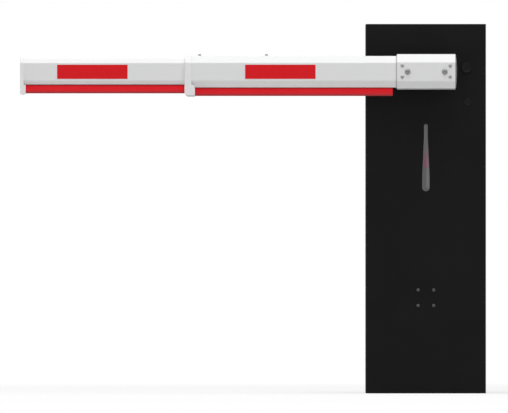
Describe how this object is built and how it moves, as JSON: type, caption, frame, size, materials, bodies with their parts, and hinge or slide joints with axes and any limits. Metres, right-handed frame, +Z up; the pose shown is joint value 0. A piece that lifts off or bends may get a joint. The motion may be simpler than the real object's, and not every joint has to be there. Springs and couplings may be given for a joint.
{
  "type": "parking barrier",
  "caption": "Upright black sheet-metal cabinet with a slim status light; a white telescopic arm with red rubber below swings up on a hub at its front.",
  "frame": {"origin": "centre of the cabinet's footprint on the ground, which is the centre of the anchor holes", "axes": "+Z up; the cabinet's front faces -Y; the arm reaches out to -X; the hinge runs along Y"},
  "size_m": [1.2803, 0.3918, 1.016],
  "materials": {
    "cabinet_paint": "matt black powder coat",
    "galvanised_steel": "galvanised",
    "black_fitting": "black moulded",
    "smoked_lens": "smoked translucent",
    "lamp_board": "circuit board with red lamps",
    "dark_steel": "dark zinc",
    "black_zinc": "black zinc",
    "bearing_iron": "black paint",
    "shaft_steel": "turned",
    "white_arm": "white powder coat",
    "white_cap": "off-white moulded",
    "grey_cap": "grey moulded",
    "red_rubber": "red, matt",
    "red_reflector": "retroreflective film",
    "glide_plastic": "natural nylon"
  },
  "bodies": {
    "cabinet": {"base_plate": "galvanised_steel", "front_panel": "cabinet_paint", "left_side_panel": "cabinet_paint", "right_side_panel": "cabinet_paint", "top_cover": "cabinet_paint", "rear_kick_plate": "cabinet_paint", "front_left_post": "galvanised_steel", "front_right_post": "galvanised_steel", "rear_left_post": "galvanised_steel", "rear_right_post": "galvanised_steel", "service_door": "cabinet_paint", "door_hinges": "cabinet_paint", "door_lock": "black_fitting", "status_lens": "smoked_lens", "light_tray": "black_fitting", "led_strip": "lamp_board", "sensor_bracket": "galvanised_steel", "panel_screws": "black_zinc", "release_cover": "black_fitting", "key_lock": "black_fitting", "bearing_housing": "bearing_iron", "bearing_backplate": "galvanised_steel", "bearing_bolts": "dark_steel"},
    "arm": {"drive_shaft": "shaft_steel", "shaft_collar": "shaft_steel", "hub_plate": "bearing_iron", "arm_sleeve": "white_arm", "sleeve_end_cap": "grey_cap", "sleeve_bolts": "dark_steel", "sleeve_screws": "dark_steel", "main_tube": "white_arm", "main_rubber": "red_rubber", "tube_collar": "white_cap", "clamp_screws": "dark_steel", "main_reflector_front": "red_reflector", "main_reflector_back": "red_reflector"},
    "extension": {"inner_tube": "white_arm", "inner_rubber": "red_rubber", "inner_end_cap": "white_cap", "inner_reflector_front": "red_reflector", "inner_reflector_back": "red_reflector", "guide_block": "glide_plastic"}
  },
  "joints": [
    {"name": "arm_lift", "type": "hinge", "parent": "cabinet", "child": "arm", "pos_m": [0, -0.12, 0.8838], "axis": [0, 1, 0], "range_deg": [0, 90]},
    {"name": "extension_slide", "type": "slide", "parent": "arm", "child": "extension", "axis": [-1, 0, 0], "range_m": [0, 0.2]}
  ]
}
